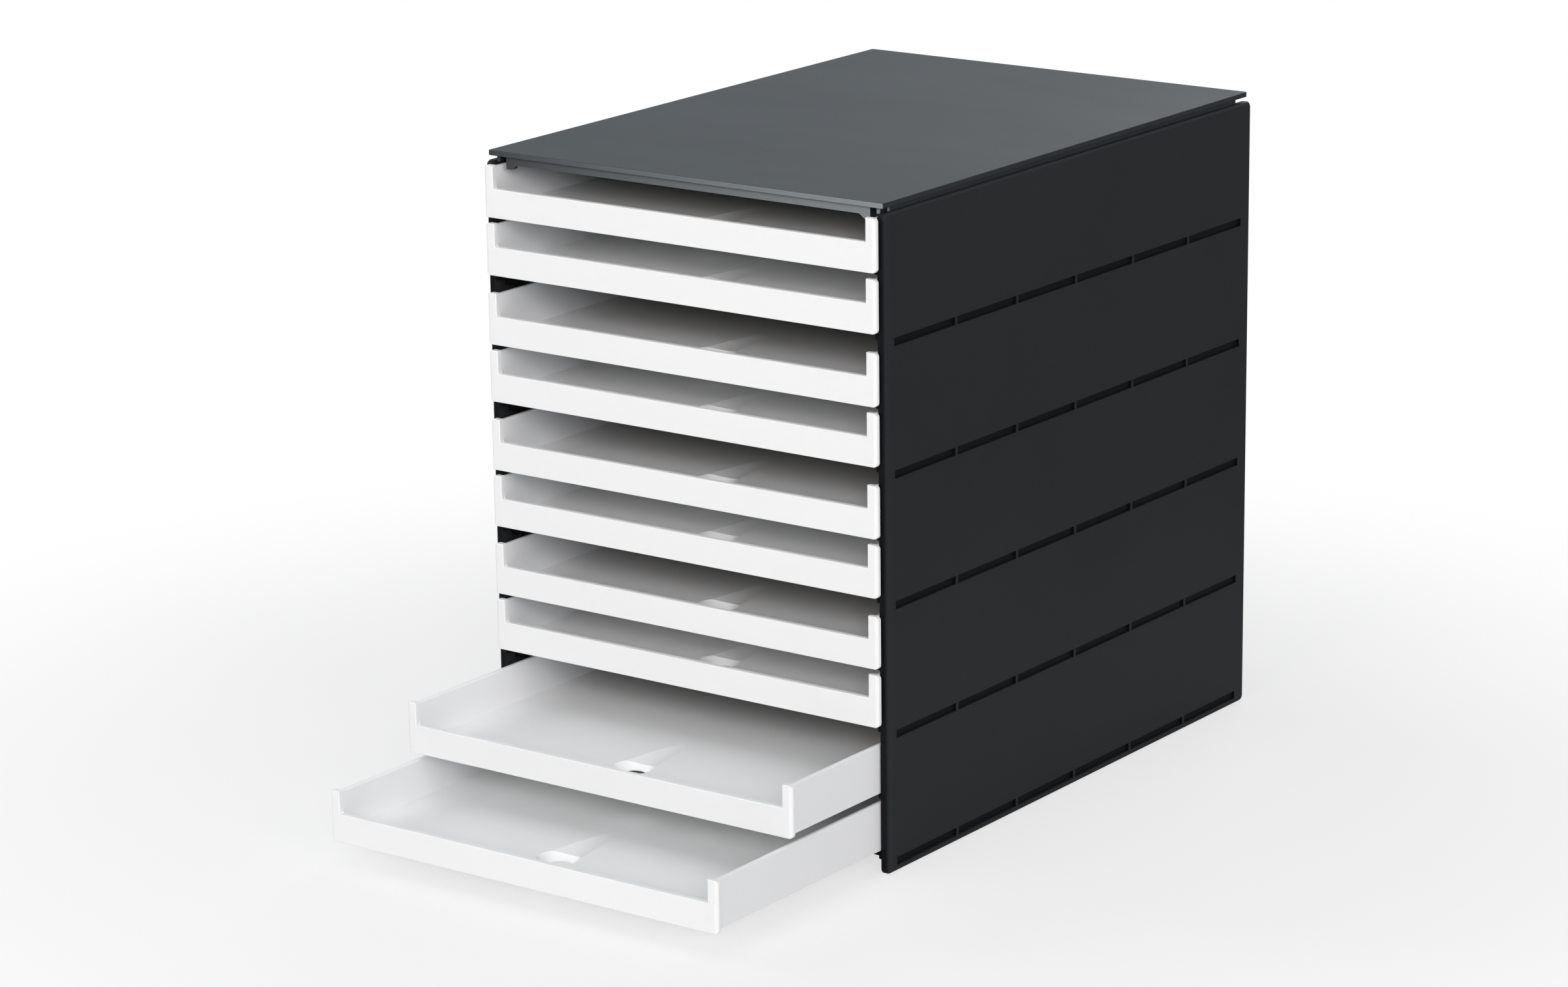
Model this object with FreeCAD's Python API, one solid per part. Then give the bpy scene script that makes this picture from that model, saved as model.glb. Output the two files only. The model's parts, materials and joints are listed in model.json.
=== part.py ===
import FreeCAD, Part
import math
import os

# Ten-drawer file box for A4 paper: a black housing of two slotted side panels, five shelves,
# a back panel and a top plate, with ten white one-piece drawers that slide on moulded rails.
# Units are millimetres.  +Z is up, the drawers open toward -Y, and +X is the right-hand side.
# The model is built about the centre of the housing and then moved so that the origin lies
# under the middle of the whole box, open drawers included, on the surface it stands on.

# ---- housing ---------------------------------------------------------------------------
housing_width = 234.0        # over the outer faces of the side panels
panel_depth = 328.0          # front to back, side panels
panel_wall = 3.7             # side panel thickness
panel_corner = 3.0           # rounding of the panel's corners, seen from the side
panel_edge = 1.5             # rounding of the panel's outer edges
weld = 0.5                   # overlap of details that are moulded in one piece
past = 1.0                   # how far a cutter runs past the faces that it cuts
same_place = 1e-4            # two limits closer than this are one
modules = 5                  # storeys of the housing, two drawers in each
module_pitch = 63.2          # height of one storey

# ---- slots in the side panels and the shelves that plug into them ------------------------
slot_rise = 3.0              # lowest slot above the panel's lower edge
slot_height = 4.1
slots_per_row = 6
slot_web = 1.9               # wall left between two slots of a row
slot_front_margin = 7.9      # panel's front edge to the first slot
slot_back_margin = 9.2       # last slot to the panel's back edge
shelf_thickness = 2.8
shelf_front_setback = 30.0   # shelf's front edge behind the panel's front edge
base_front_setback = 16.5    # the same for the base shelf, which carries the feet
shelf_side_gap = 0.2         # shelf to rail
tab_gap = 0.3                # tab to the walls of its slot, all round
tab_recess = 1.2             # end of the tab inside the panel's outer face
shelf_rib_depth = 1.6        # stiffening rib under the shelf's front edge
shelf_rib_width = 2.4
shelf_rib_inset = 9.0        # end of the rib inside the shelf's side

# ---- rails on the side panels' inner faces ------------------------------------------------
rail_reach = 2.0             # how far a rail stands in from the panel
rail_front_setback = 1.0
rail_back_setback = 14.0
middle_rail_height = 2.4
rail_edge = 0.5              # rounding of the rail's inner edges
running_gap = 0.3            # drawer runner above its rail
catch_length = 4.0           # stop catch under a rail, front to back
catch_setback = 14.5         # stop catch behind the panel's front edge

# ---- top plate ---------------------------------------------------------------------------
plate_thickness = 2.6
plate_lift = 1.0             # plate's top above the place of one more row of slots
plate_side_inset = 1.0       # plate's side edge inside the panel's outer face
plate_front_inset = 0.7      # plate's front edge behind the panel's front edge
plate_back_inset = 2.4       # plate's back edge in front of the panel's back edge
plate_corner = 1.2
plate_edge = 0.4
shadow_gap = 2.3             # open joint between the plate and the side panels
neck_width = 1.4             # longitudinal rib that carries the plate on the panel's edge
neck_inset = 0.1             # rib outside the panel's inner face
neck_front_setback = 8.0
neck_back_setback = 12.0
front_rib_height = 4.1
front_rib_width = 2.2
front_rib_setback = 2.9      # rib behind the plate's front edge
hook_width = 3.1             # hooks that hang down at the front corners
hook_length = 4.6
hook_drop = 6.4
hook_inset = 9.0             # hook inside the plate's side edge
rib_end_length = 3.2         # sloping end of the front rib beside the hook
rib_end_drop = 2.3           # how much lower the rib is where it meets the hook
corner_block = 1.9           # small block outside each hook
corner_block_length = 3.0
corner_block_lap = 0.9       # block below the side panel's top edge

# ---- back panel and feet -----------------------------------------------------------------
back_thickness = 3.0
back_setback = 1.6           # back panel in front of the side panels' back edges
back_groove = 1.2            # depth of the grooves that hold the back panel
back_groove_gap = 0.2
back_top_drop = 8.0          # top of the back panel below the side panels' top edges
back_bottom_rise = 8.0
back_edge = 0.3              # rounding of the sheet's edges
foot_radius = 7.0
foot_proud = 0.5             # foot below the side panels
foot_side_inset = 22.0
foot_end_inset = 14.0
foot_edge = 0.4

# ---- drawers -----------------------------------------------------------------------------
drawer_height = 25.8         # front plate
drawer_depth = 322.0
front_gap = 1.5              # shut front plate to the side panels' front edges
front_thickness = 2.7
front_corner = 2.1
front_side_inset = 2.0       # front plate's end inside the side panel's outer face
front_side_round = 1.8       # rounding of the front plate's upright edges
front_edge = 0.5
post_width = 5.5             # upright end of the front plate
lip_height = 14.4
lip_corner = 0.4
pair_gap = 2.85              # between the two drawers of a storey
lower_drawer_lift = 3.45     # lower drawer above the slots
side_clearance = 0.7         # drawer wall to side panel
wall_thickness = 2.5
wall_edge = 0.8
tray_corner = 3.0            # upright corners inside the tray
mouth_corner = 1.8           # cove above the lip where those corners end
wall_top_drop = 0.8          # side wall below the front plate's top
runner_rise = 1.0            # lower edge of the side walls above the front plate's
floor_thickness = 2.2
floor_rise = 3.2             # floor's underside above the front plate's lower edge
back_wall_thickness = 2.4
back_wall_height = 16.0
stop_lug_height = 1.6
stop_lug_length = 6.0
stop_lug_width = 1.2
catch_clearance = 0.8        # catch above the side wall
travel = 236.0               # from shut to the stop
open_ninth = 69.8            # how far the two lowest drawers stand open
open_tenth = 127.8

# ---- finger hole, its dish and the scoop behind it ---------------------------------------
dish_setback = 29.8          # centre behind the front plate's face
dish_radius = 10.6
dish_wall = 1.4
hole_radius = 6.6
hole_rim_rise = 1.4          # lower end of the dish above the front plate's lower edge
scoop_radius = 26.0
scoop_depth = 1.3
scoop_reach = 71.0           # end of the scoop behind the front plate's face

# ---- values worked out from the above ----------------------------------------------------
half_width = housing_width / 2
half_depth = panel_depth / 2
inner_face = half_width - panel_wall
rail_face = inner_face - rail_reach
top_of_box = slot_rise + modules * module_pitch + slot_height + plate_lift
panel_height = top_of_box - plate_thickness - shadow_gap
slot_length = (panel_depth - slot_front_margin - slot_back_margin
               - (slots_per_row - 1) * slot_web) / slots_per_row
lower_drawer_rise = slot_rise + slot_height + lower_drawer_lift
upper_drawer_rise = lower_drawer_rise + drawer_height + pair_gap
wall_outer = inner_face - side_clearance
wall_inner = wall_outer - wall_thickness
wall_top = drawer_height - wall_top_drop
plate_half = half_width - plate_side_inset
front_half = half_width - front_side_inset
front_plane = -half_depth - front_gap - front_thickness
back_front_face = half_depth - back_setback - back_thickness
catch_front = -half_depth + catch_setback
stop_lug_front = catch_front + catch_length + travel + running_gap - front_plane
origin_shift = (open_tenth - front_plane - half_depth) / 2


def box(x0, x1, y0, y1, z0, z1):
    """Box between the given limits."""
    return Part.makeBox(x1 - x0, y1 - y0, z1 - z0, FreeCAD.Vector(x0, y0, z0))


def fuse(solids):
    """One solid from several that touch or overlap."""
    whole = solids[0].multiFuse(solids[1:]).removeSplitter()
    return whole


def rounded(shape, radius, wanted):
    """Fillet every straight or curved edge for which wanted(bounding box) is true."""
    edges = [edge for edge in shape.Edges if wanted(edge.BoundBox)]
    return shape.makeFillet(radius, edges)


def flat(low, high):
    """True when two limits of an edge's box are the same."""
    return abs(high - low) < same_place


def near(value, target):
    return abs(value - target) < same_place


def mirrored(shape):
    """The same piece for the other side of the box."""
    return shape.mirror(FreeCAD.Vector(0, 0, 0), FreeCAD.Vector(1, 0, 0))


def export(name, shape):
    """Move the piece to the box's own origin and write it as its own file."""
    placed = shape.copy()
    placed.translate(FreeCAD.Vector(0, origin_shift, foot_proud))
    placed.exportStep("parts/" + name + ".step")
    print(name, len(placed.Solids), round(placed.Volume / 1000, 2), placed.isValid())


def row_rise(row):
    """Lower edge of a row of slots, counted up from the base."""
    return slot_rise + row * module_pitch


def slot_span(column):
    """Front and back limit of one slot of a row."""
    start = -half_depth + slot_front_margin + column * (slot_length + slot_web)
    return start, start + slot_length


def rail(low, high):
    """One rail between these heights; it runs most of the panel's depth."""
    front = -half_depth + rail_front_setback
    back = half_depth - rail_back_setback
    bar = box(rail_face, inner_face, front, back, low, high)
    return rounded(bar, rail_edge, lambda b: near(b.XMax, rail_face) and not flat(b.YMin, b.YMax))


def stop_catch(high, rise):
    """Nub, up to the height high, that holds the drawer whose lower edge is at rise."""
    return box(rail_face, inner_face, catch_front, catch_front + catch_length,
               rise + wall_top + catch_clearance, high)


def side_panel():
    """Right-hand side panel with its rows of slots and the groove for the back panel."""
    sheet = box(inner_face, half_width, -half_depth, half_depth, 0, panel_height)
    sheet = rounded(sheet, panel_corner, lambda b: not flat(b.XMin, b.XMax))
    sheet = rounded(sheet, panel_edge, lambda b: near(b.XMin, half_width))
    cuts = [box(inner_face - past, inner_face + back_groove,
                back_front_face - back_groove_gap,
                back_front_face + back_thickness + back_groove_gap,
                back_bottom_rise - back_groove_gap,
                panel_height - back_top_drop + back_groove_gap)]
    for row in range(modules):
        for column in range(slots_per_row):
            start, end = slot_span(column)
            cuts.append(box(inner_face - past, half_width + past, start, end,
                            row_rise(row), row_rise(row) + slot_height))
    return sheet.cut(cuts)


def side_rails():
    """Right-hand rails, one above the slots and one in the middle of a storey, and catches."""
    pieces = []
    for module in range(modules):
        base = module * module_pitch
        pieces.append(rail(row_rise(module) + slot_height,
                           base + lower_drawer_rise + runner_rise - running_gap))
        if module > 0:
            pieces.append(stop_catch(row_rise(module), base - module_pitch + upper_drawer_rise))
        middle_top = base + upper_drawer_rise + runner_rise - running_gap
        pieces.append(rail(middle_top - middle_rail_height, middle_top))
        pieces.append(stop_catch(middle_top - middle_rail_height, base + lower_drawer_rise))
    return Part.makeCompound(pieces)


def shelf(row):
    """Shelf between two storeys, with six tabs a side that reach into the panels' slots."""
    low = row_rise(row) + (slot_height - shelf_thickness) / 2
    high = low + shelf_thickness
    front = -half_depth + (shelf_front_setback if row else base_front_setback)
    back = back_front_face - tab_gap
    half = rail_face - shelf_side_gap
    solids = [box(-half, half, front, back, low, high)]
    rib_half = half - shelf_rib_inset
    solids.append(box(-rib_half, rib_half, front, front + shelf_rib_width,
                      low - shelf_rib_depth, low + weld))
    for column in range(slots_per_row):
        start, end = slot_span(column)
        tab = box(half - weld, half_width - tab_recess, start + tab_gap, end - tab_gap,
                  row_rise(row) + tab_gap, row_rise(row) + slot_height - tab_gap)
        solids.append(tab)
        solids.append(mirrored(tab))
    return fuse(solids)


def top_plate():
    """Flat lid with a rib and two hooks along its front and a carrying neck at each side."""
    low = top_of_box - plate_thickness
    front = -half_depth + plate_front_inset
    back = half_depth - plate_back_inset
    slab = box(-plate_half, plate_half, front, back, low, top_of_box)
    slab = rounded(slab, plate_corner, lambda b: not flat(b.ZMin, b.ZMax))
    slab = rounded(slab, plate_edge, lambda b: flat(b.ZMin, b.ZMax))
    solids = [slab]
    neck_side = inner_face + neck_inset
    neck = box(neck_side, neck_side + neck_width, -half_depth + neck_front_setback,
               half_depth - neck_back_setback, panel_height, low + weld)
    solids.extend([neck, mirrored(neck)])
    rib_front = front + front_rib_setback
    side = plate_half - hook_inset
    rib_half = side - hook_width
    rib_low = low - front_rib_height
    profile = [(-rib_half, low + weld), (rib_half, low + weld),
               (rib_half, rib_low - rib_end_drop), (rib_half - rib_end_length, rib_low),
               (-rib_half + rib_end_length, rib_low), (-rib_half, rib_low - rib_end_drop)]
    points = [FreeCAD.Vector(x, rib_front, z) for x, z in profile]
    outline = Part.makePolygon(points + points[:1])
    solids.append(Part.Face(outline).extrude(FreeCAD.Vector(0, front_rib_width, 0)))
    hook = box(side - hook_width, side, rib_front, rib_front + hook_length,
               low - hook_drop, low + weld)
    block = box(wall_outer - corner_block, wall_outer, rib_front,
                rib_front + corner_block_length, panel_height - corner_block_lap, low + weld)
    catch = stop_catch(low + weld, drawer_rise(1))
    for piece in (hook, block, catch):
        solids.extend([piece, mirrored(piece)])
    return fuse(solids)


def back_panel():
    """Flat sheet that closes the back and stands in the side panels' grooves."""
    half = inner_face + back_groove - back_groove_gap
    sheet = box(-half, half, back_front_face, back_front_face + back_thickness,
                back_bottom_rise, panel_height - back_top_drop)
    return rounded(sheet, back_edge, lambda b: not flat(b.XMin, b.XMax))


def feet():
    """Four round rubber pads under the base shelf."""
    height = slot_rise + (slot_height - shelf_thickness) / 2 + foot_proud
    x = half_width - foot_side_inset
    front = -half_depth + base_front_setback + foot_end_inset
    back = back_front_face - foot_end_inset
    pads = []
    for px, py in ((-x, front), (x, front), (-x, back), (x, back)):
        pad = Part.makeCylinder(foot_radius, height, FreeCAD.Vector(px, py, -foot_proud))
        pads.append(rounded(pad, foot_edge, lambda b: near(b.ZMax, -foot_proud)))
    return Part.makeCompound(pads)


def front_plate():
    """Drawer front: full-height posts at both ends and a lower lip between them."""
    tall = box(-front_half, front_half, 0, front_thickness, 0, drawer_height)
    tall = rounded(tall, front_corner, lambda b: not flat(b.YMin, b.YMax))
    plan = box(-front_half, front_half, 0, front_thickness, -past, drawer_height + past)
    plan = rounded(plan, front_side_round, lambda b: near(b.YMax, 0) and not flat(b.ZMin, b.ZMax))
    window_half = front_half - post_width
    window = box(-window_half, window_half, -past, front_thickness + past, lip_height,
                 drawer_height + lip_corner + past)
    window = rounded(window, lip_corner,
                     lambda b: not flat(b.YMin, b.YMax) and near(b.ZMin, lip_height))
    plate = tall.common(plan).cut(window)
    return rounded(plate, front_edge, lambda b: near(b.YMax, 0) and flat(b.ZMin, b.ZMax))


def tray():
    """Floor, side walls and low back wall; the walls' lower edges are the runners."""
    start = front_thickness - weld
    body = box(-wall_outer, wall_outer, start, drawer_depth, runner_rise, wall_top)
    cavity = box(-wall_inner, wall_inner, start, drawer_depth - back_wall_thickness,
                 floor_rise + floor_thickness, wall_top + past)
    cavity = rounded(cavity, tray_corner, lambda b: not flat(b.ZMin, b.ZMax))
    mouth = box(-wall_inner, wall_inner, start, start + 2 * tray_corner, lip_height,
                wall_top + past)
    mouth = rounded(mouth, mouth_corner,
                    lambda b: near(b.ZMax, lip_height) and not flat(b.YMin, b.YMax))
    over_back = box(-wall_inner, wall_inner, drawer_depth - 2 * tray_corner,
                    drawer_depth + past, back_wall_height, wall_top + past)
    under = box(-wall_inner, wall_inner, start - past, drawer_depth + past,
                runner_rise - past, floor_rise)
    body = body.cut([fuse([cavity, mouth, over_back]), under]).removeSplitter()
    return rounded(body, wall_edge,
                   lambda b: near(b.ZMin, wall_top) and flat(b.XMin, b.XMax))


def drawer():
    """One drawer, shut, with the middle of its front face's lower edge at the origin."""
    floor_top = floor_rise + floor_thickness
    lug = box(wall_outer - stop_lug_width, wall_outer, stop_lug_front,
              stop_lug_front + stop_lug_length, wall_top - wall_edge - weld,
              wall_top + stop_lug_height)
    dish = Part.makeCone(hole_radius + dish_wall, dish_radius + dish_wall,
                         floor_top - hole_rim_rise,
                         FreeCAD.Vector(0, dish_setback, hole_rim_rise))
    whole = fuse([front_plate(), tray(), lug, mirrored(lug), dish])
    overrun = past * (dish_radius - hole_radius) / (floor_top - hole_rim_rise)
    funnel = Part.makeCone(hole_radius - overrun, dish_radius + overrun,
                           floor_top - hole_rim_rise + 2 * past,
                           FreeCAD.Vector(0, dish_setback, hole_rim_rise - past))
    run = scoop_reach - dish_setback - dish_radius
    tilt = math.atan2(scoop_depth, run)
    toward_dish = FreeCAD.Vector(0, -math.cos(tilt), -math.sin(tilt))
    sideways_up = FreeCAD.Vector(0, -math.sin(tilt), math.cos(tilt))
    scoop_end = FreeCAD.Vector(0, scoop_reach, floor_top)
    axis_start = scoop_end + sideways_up * scoop_radius - toward_dish * dish_radius
    scoop = Part.makeCylinder(scoop_radius, run + 2 * dish_radius, axis_start, toward_dish)
    return whole.cut([funnel, scoop])


def drawer_rise(number):
    """Height of a drawer's lower edge; drawers are counted from the top."""
    module = modules - 1 - (number - 1) // 2
    if number % 2:
        return module * module_pitch + upper_drawer_rise
    return module * module_pitch + lower_drawer_rise


os.makedirs("parts", exist_ok=True)
right_panel = side_panel()
export("right_side_panel", right_panel)
export("left_side_panel", mirrored(right_panel))
right_rails = side_rails()
export("right_rails", right_rails)
export("left_rails", mirrored(right_rails))
export("top_plate", top_plate())
for row in range(1, modules):
    export("shelf_" + str(modules - row), shelf(row))
export("base_shelf", shelf(0))
export("back_panel", back_panel())
export("rubber_feet", feet())
one_drawer = drawer()
openings = {2 * modules - 1: open_ninth, 2 * modules: open_tenth}
for number in range(1, 2 * modules + 1):
    placed_drawer = one_drawer.copy()
    pulled = openings.get(number, 0.0)
    placed_drawer.translate(FreeCAD.Vector(0, front_plane - pulled, drawer_rise(number)))
    export("drawer_" + str(number), placed_drawer)
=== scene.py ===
"""Looks of the ten-drawer file box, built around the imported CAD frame.

Units are metres, in the CAD's own frame: the box stands on z = 0 and its drawers open toward -Y.
Colours are linear RGB.
"""

import json
import math

import bpy
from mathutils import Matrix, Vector


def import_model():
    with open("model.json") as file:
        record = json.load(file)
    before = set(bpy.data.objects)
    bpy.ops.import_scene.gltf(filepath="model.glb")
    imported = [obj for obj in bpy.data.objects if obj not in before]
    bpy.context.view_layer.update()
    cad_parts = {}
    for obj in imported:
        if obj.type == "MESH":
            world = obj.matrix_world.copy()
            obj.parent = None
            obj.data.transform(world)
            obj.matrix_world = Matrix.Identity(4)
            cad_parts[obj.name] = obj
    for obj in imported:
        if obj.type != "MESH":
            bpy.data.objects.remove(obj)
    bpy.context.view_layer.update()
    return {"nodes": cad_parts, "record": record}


# ---- camera -------------------------------------------------------------------------------
CAMERA_PLACE = (1.35535, -1.87826, 0.78483)
CAMERA_TURN = (74.6230, 0.6730, 35.8773)       # degrees about X, Y and Z
CAMERA_LENS = 111.523                          # millimetres
SENSOR_WIDTH = 36.0                            # millimetres
CAMERA_REACH = 50.0                            # farthest thing it sees

# ---- light --------------------------------------------------------------------------------
WHITE = (1.0, 1.0, 1.0)
AMBIENT = (0.09, 0.11, 0.12)                   # what lights the box from all round
MIRRORED = (0.74, 0.82, 0.88)                  # the room as the box's glossy surfaces show it
LIT_POINT = (0.0, -0.10, 0.16)                 # what the lamps face
# name, degrees from the front toward the right, degrees above the floor, distance to
# LIT_POINT, width, watts, colour
LAMPS = (
    ("key_right", 38.0, 22.0, 5.0, 1.6, 95.0, (1.00, 0.98, 1.02)),
    ("fill_front", 0.0, 22.0, 5.0, 1.6, 63.0, (1.09, 1.00, 0.92)),
    ("side_right", 72.0, 22.0, 5.0, 1.8, 50.0, (1.07, 0.99, 0.94)),
    ("top_soft", 0.0, 85.0, 2.8, 2.4, 17.0, WHITE),
    ("left", 275.0, 25.0, 5.0, 1.8, 55.0, WHITE),
    ("back", 195.0, 30.0, 5.0, 1.8, 34.0, WHITE),
)

# ---- floor --------------------------------------------------------------------------------
FLOOR_RADIUS = 9.0
FLOOR_CORNERS = 128
FLOOR_COLOUR = (0.90, 0.90, 0.90)
FADE_START = 0.26                              # from the middle, where the floor starts to pale
FADE_END = 0.66                                # from the middle, where it is plain white
FLOOR_LIFT = 0.66                              # least share of plain white; softens the shadow
FLOOR_MIRRORED = 0.30                          # how bright glossy surfaces show the far floor

# ---- plastics -----------------------------------------------------------------------------
GRAIN_SIZE = 0.00045                           # of the smooth mouldings
GRAIN_DEPTH = 0.00003                          # at GRAIN_SIZE; coarser grain is deeper
COARSE_GRAIN_SIZE = 0.0011                     # of the lid and the side panels
GRAIN_SHARE = 0.45                             # of grain in colour and gloss; the rest is mottling
BUMP_STRENGTH = 0.5
PAINTED_SHEEN_LEFT = (0.050, 0.055, 0.058)             # painted sheen on the lid's front faces at their left end
PAINTED_SHEEN_RIGHT = (0.235, 0.260, 0.272)            # and at their right end
HIGHLIGHT_BAND_WIDTH = 0.006                             # width of a painted highlight: a paler band behind the panels' front edge
PAINTED_HIGHLIGHT_COLOUR = (0.0200, 0.0250, 0.0265)
PAINTED_SHADE_COLOUR = (0.0055, 0.0055, 0.0068)         # painted shade on the panels' front edge and the slots' far ends
FACING_START = -0.45                           # the normal's Y where a face starts to count as
FACING_FULL = -0.85                            # front, and where it counts in full


# ---- nodes --------------------------------------------------------------------------------
def node(tree, kind, **sockets):
    """A shader node with these input values; names use underscores for spaces."""
    made = tree.nodes.new(kind)
    for name, value in sockets.items():
        made.inputs[name.replace("_", " ")].default_value = value
    return made


def feed(tree, socket, value):
    """Give an input socket another socket, an RGB colour or a number."""
    if isinstance(value, bpy.types.NodeSocket):
        tree.links.new(value, socket)
    elif isinstance(value, tuple):
        socket.default_value = (*value, 1.0)
    else:
        socket.default_value = value


def math_node(tree, operation, first, second, clamp=False):
    """Output of a Math node fed by sockets or numbers."""
    made = tree.nodes.new("ShaderNodeMath")
    made.operation = operation
    made.use_clamp = clamp
    feed(tree, made.inputs[0], first)
    feed(tree, made.inputs[1], second)
    return made.outputs[0]


def spread(tree, value, low, high):
    """Map a 0..1 socket to low..high."""
    made = node(tree, "ShaderNodeMapRange", To_Min=low, To_Max=high)
    tree.links.new(value, made.inputs["Value"])
    return made.outputs["Result"]


def ramp(tree, kind, axis, start, end):
    """0 to 1 between two values of one axis of the "Object" or "Normal" coordinates."""
    parts = tree.nodes.new("ShaderNodeSeparateXYZ")
    tree.links.new(tree.nodes.new("ShaderNodeTexCoord").outputs[kind], parts.inputs[0])
    made = node(tree, "ShaderNodeMapRange", From_Min=start, From_Max=end)
    tree.links.new(parts.outputs[axis], made.inputs["Value"])
    return made.outputs["Result"]


def facing_front(tree):
    """1 on faces that look toward -Y, 0 on the others."""
    return ramp(tree, "Normal", "Y", FACING_START, FACING_FULL)


def noise(tree, place, size, detail, roughness):
    """Noise whose features are about this many metres across."""
    made = node(tree, "ShaderNodeTexNoise", Scale=1.0 / size, Detail=detail, Roughness=roughness)
    tree.links.new(place, made.inputs["Vector"])
    return made.outputs["Fac"]


def mixed_colour(tree, share, first, second):
    """From first to second, each a colour or a socket, by a 0..1 socket."""
    made = tree.nodes.new("ShaderNodeMix")
    made.data_type = "RGBA"
    tree.links.new(share, made.inputs["Factor"])
    feed(tree, made.inputs["A"], first)
    feed(tree, made.inputs["B"], second)
    return made.outputs["Result"]


def mixed_shader(tree, share, first, second):
    """From the first shader to the second by a 0..1 socket."""
    made = tree.nodes.new("ShaderNodeMixShader")
    tree.links.new(share, made.inputs["Fac"])
    tree.links.new(first.outputs[0], made.inputs[1])
    tree.links.new(second.outputs[0], made.inputs[2])
    return made


def seen_directly(tree):
    """1 for what the camera sees, also through openings, and 0 for light on the object."""
    path = tree.nodes.new("ShaderNodeLightPath").outputs
    return math_node(tree, "ADD", path["Is Camera Ray"], path["Is Transmission Ray"], clamp=True)


# ---- plastics -----------------------------------------------------------------------------
def moulded_plastic(name, dark, light, roughness, specular, mottle_size, stretch=1.0,
                    grain_size=GRAIN_SIZE):
    """Injection-moulded plastic: fine spark-eroded grain, faint flow mottling, uneven gloss.

    stretch above 1 draws the mottling out along X.
    """
    material = bpy.data.materials.new(name)
    material.use_nodes = True
    tree = material.node_tree
    shader = tree.nodes["Principled BSDF"]
    place = tree.nodes.new("ShaderNodeTexCoord").outputs["Object"]
    grain = noise(tree, place, grain_size, detail=3.0, roughness=0.6)
    drawn = tree.nodes.new("ShaderNodeVectorMath")
    drawn.operation = "MULTIPLY"
    drawn.inputs[1].default_value = (1.0 / stretch, 1.0, 1.0)
    tree.links.new(place, drawn.inputs[0])
    mottle = noise(tree, drawn.outputs["Vector"], mottle_size, detail=4.0, roughness=0.55)
    blend = math_node(tree, "ADD", math_node(tree, "MULTIPLY", grain, GRAIN_SHARE),
                      math_node(tree, "MULTIPLY", mottle, 1.0 - GRAIN_SHARE), clamp=True)
    tree.links.new(mixed_colour(tree, blend, dark, light), shader.inputs["Base Color"])
    tree.links.new(spread(tree, blend, *roughness), shader.inputs["Roughness"])
    shader.inputs["Specular IOR Level"].default_value = specular
    bump = node(tree, "ShaderNodeBump", Strength=BUMP_STRENGTH,
                Distance=GRAIN_DEPTH * grain_size / GRAIN_SIZE)
    tree.links.new(grain, bump.inputs["Height"])
    tree.links.new(bump.outputs["Normal"], shader.inputs["Normal"])
    return material


def lay_over(material, mask, colour):
    """Lay a colour or a colour socket over a material's own where the mask socket is 1."""
    tree = material.node_tree
    base = tree.nodes["Principled BSDF"].inputs["Base Color"]
    tree.links.new(mixed_colour(tree, mask, base.links[0].from_socket, colour), base)


def lid_plastic(lid):
    """The lid's plastic; its narrow front faces get a painted sheen that grows paler to the right.
    """
    material = moulded_plastic("black_lid", dark=(0.013, 0.015, 0.017),
                               light=(0.032, 0.035, 0.038), roughness=(0.34, 0.54),
                               specular=0.12, mottle_size=0.06, stretch=3.0,
                               grain_size=COARSE_GRAIN_SIZE)
    tree = material.node_tree
    half_width = max(corner[0] for corner in lid.bound_box)
    across = ramp(tree, "Object", "X", -half_width, half_width)
    # painted sheen: front faces paler, more so toward the right
    lay_over(material, facing_front(tree), mixed_colour(tree, across, PAINTED_SHEEN_LEFT, PAINTED_SHEEN_RIGHT))
    return material


def panel_plastic(panel):
    """The side panels' plastic: painted shade where it faces the front, with a painted highlight
    as a paler band behind that.
    """
    material = moulded_plastic("black_panel", dark=(0.0125, 0.0135, 0.0150),
                               light=(0.0250, 0.0265, 0.0288), roughness=(0.36, 0.56),
                               specular=0.10, mottle_size=0.12, grain_size=COARSE_GRAIN_SIZE)
    tree = material.node_tree
    front = min(corner[1] for corner in panel.bound_box)
    # painted highlight: a paler band just behind the front edge
    lay_over(material, ramp(tree, "Object", "Y", front + HIGHLIGHT_BAND_WIDTH, front), PAINTED_HIGHLIGHT_COLOUR)
    # painted shade on every face that looks to the front, the slots' far ends included
    lay_over(material, facing_front(tree), PAINTED_SHADE_COLOUR)
    return material


def shelf_plastic():
    """Matt, darker plastic of the shelves, their tabs and the rails."""
    return moulded_plastic("black_shelf", dark=(0.0035, 0.0037, 0.0042),
                           light=(0.0065, 0.0068, 0.0075), roughness=(0.50, 0.62),
                           specular=0.06, mottle_size=0.09)


def foot_rubber():
    """Dull rubber of the feet."""
    return moulded_plastic("rubber", dark=(0.012, 0.012, 0.012), light=(0.022, 0.022, 0.022),
                           roughness=(0.75, 0.90), specular=0.20, mottle_size=0.02)


def drawer_plastic():
    """Satin white plastic of the drawers."""
    return moulded_plastic("white_drawer", dark=(0.878, 0.892, 0.898),
                           light=(0.908, 0.922, 0.928), roughness=(0.34, 0.46),
                           specular=0.35, mottle_size=0.08)


def dress(frame):
    """Give every CAD node its plastic."""
    nodes = frame["nodes"]
    finish = {
        "black_panel": panel_plastic(nodes["right_side_panel"]),
        "black_lid": lid_plastic(nodes["top_plate"]),
        "black_shelf": shelf_plastic(),
        "rubber": foot_rubber(),
        "white_drawer": drawer_plastic(),
    }
    for part in frame["record"]["subparts"]:
        slots = nodes[part["node"]].data.materials
        slots.clear()
        slots.append(finish[part["material_slot"]])


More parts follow.
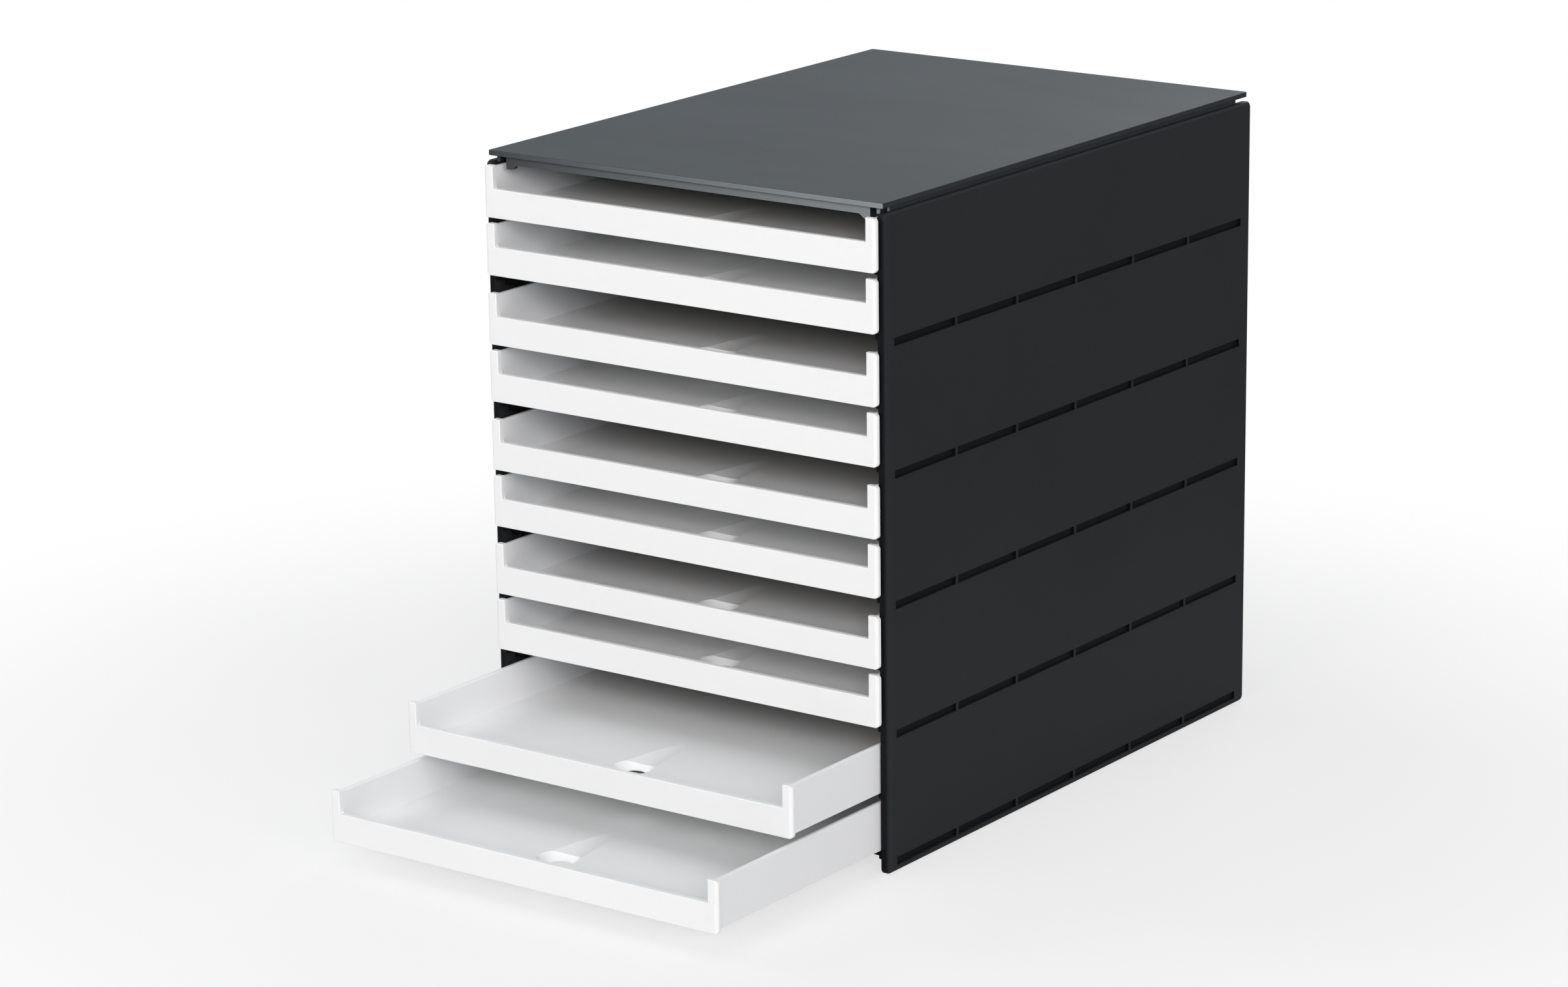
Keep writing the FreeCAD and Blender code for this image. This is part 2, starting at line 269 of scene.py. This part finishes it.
# ---- studio -------------------------------------------------------------------------------
def set_world():
    """White to look at, a cool soft room in the reflections and little ambient light."""
    world = bpy.data.worlds.new("studio")
    bpy.context.scene.world = world
    world.use_nodes = True
    tree = world.node_tree
    tree.nodes.clear()
    ambient, room, white = (node(tree, "ShaderNodeBackground", Color=(*colour, 1.0), Strength=1.0)
                            for colour in (AMBIENT, MIRRORED, WHITE))
    path = tree.nodes.new("ShaderNodeLightPath").outputs
    lighting = mixed_shader(tree, path["Is Glossy Ray"], ambient, room)
    shown = mixed_shader(tree, seen_directly(tree), lighting, white)
    out = tree.nodes.new("ShaderNodeOutputWorld")
    tree.links.new(shown.outputs[0], out.inputs["Surface"])


def add_lamp(name, turn, height, distance, width, watts, colour):
    """A square soft box that faces LIT_POINT from this direction."""
    lamp = bpy.data.lights.new(name, "AREA")
    lamp.size = width
    lamp.energy = watts
    lamp.color = colour
    holder = bpy.data.objects.new(name, lamp)
    turn, height = math.radians(turn), math.radians(height)
    toward = Vector((math.cos(height) * math.sin(turn), -math.cos(height) * math.cos(turn),
                     math.sin(height)))
    holder.location = Vector(LIT_POINT) + toward * distance
    holder.rotation_euler = toward.to_track_quat("Z", "Y").to_euler()
    bpy.context.collection.objects.link(holder)


def floor_material():
    """Pale floor that keeps a soft shadow near the box and is plain white further out."""
    material = bpy.data.materials.new("pale_floor")
    material.use_nodes = True
    tree = material.node_tree
    tree.nodes.clear()
    lit = node(tree, "ShaderNodeBsdfDiffuse", Color=(*FLOOR_COLOUR, 1.0))
    white = node(tree, "ShaderNodeEmission", Strength=1.0)
    dim = node(tree, "ShaderNodeEmission", Strength=FLOOR_MIRRORED)
    distance = tree.nodes.new("ShaderNodeVectorMath")
    distance.operation = "LENGTH"
    tree.links.new(tree.nodes.new("ShaderNodeTexCoord").outputs["Object"], distance.inputs[0])
    fade = node(tree, "ShaderNodeMapRange", From_Min=FADE_START, From_Max=FADE_END)
    fade.interpolation_type = "SMOOTHSTEP"
    tree.links.new(distance.outputs["Value"], fade.inputs["Value"])
    far = fade.outputs["Result"]
    path = tree.nodes.new("ShaderNodeLightPath").outputs
    mirrored = math_node(tree, "MULTIPLY", path["Is Glossy Ray"], far)
    seen = math_node(tree, "MULTIPLY", seen_directly(tree), spread(tree, far, FLOOR_LIFT, 1.0))
    shown = mixed_shader(tree, seen, mixed_shader(tree, mirrored, lit, dim), white)
    out = tree.nodes.new("ShaderNodeOutputMaterial")
    tree.links.new(shown.outputs[0], out.inputs["Surface"])
    return material


def add_floor():
    """Large round floor under the box."""
    bpy.ops.mesh.primitive_circle_add(vertices=FLOOR_CORNERS, radius=FLOOR_RADIUS,
                                      fill_type="NGON")
    floor = bpy.context.object
    floor.name = "floor"
    floor.data.materials.append(floor_material())


def add_camera():
    """Camera that looks down on the box from its front right."""
    camera = bpy.data.cameras.new("camera")
    camera.sensor_fit = "HORIZONTAL"
    camera.sensor_width = SENSOR_WIDTH
    camera.lens = CAMERA_LENS
    camera.clip_end = CAMERA_REACH
    holder = bpy.data.objects.new("camera", camera)
    holder.location = CAMERA_PLACE
    holder.rotation_euler = [math.radians(turn) for turn in CAMERA_TURN]
    bpy.context.collection.objects.link(holder)
    bpy.context.scene.camera = holder


def main():
    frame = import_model()
    bpy.context.scene.view_settings.view_transform = "Standard"
    set_world()
    for lamp in LAMPS:
        add_lamp(*lamp)
    add_floor()
    add_camera()
    dress(frame)


main()
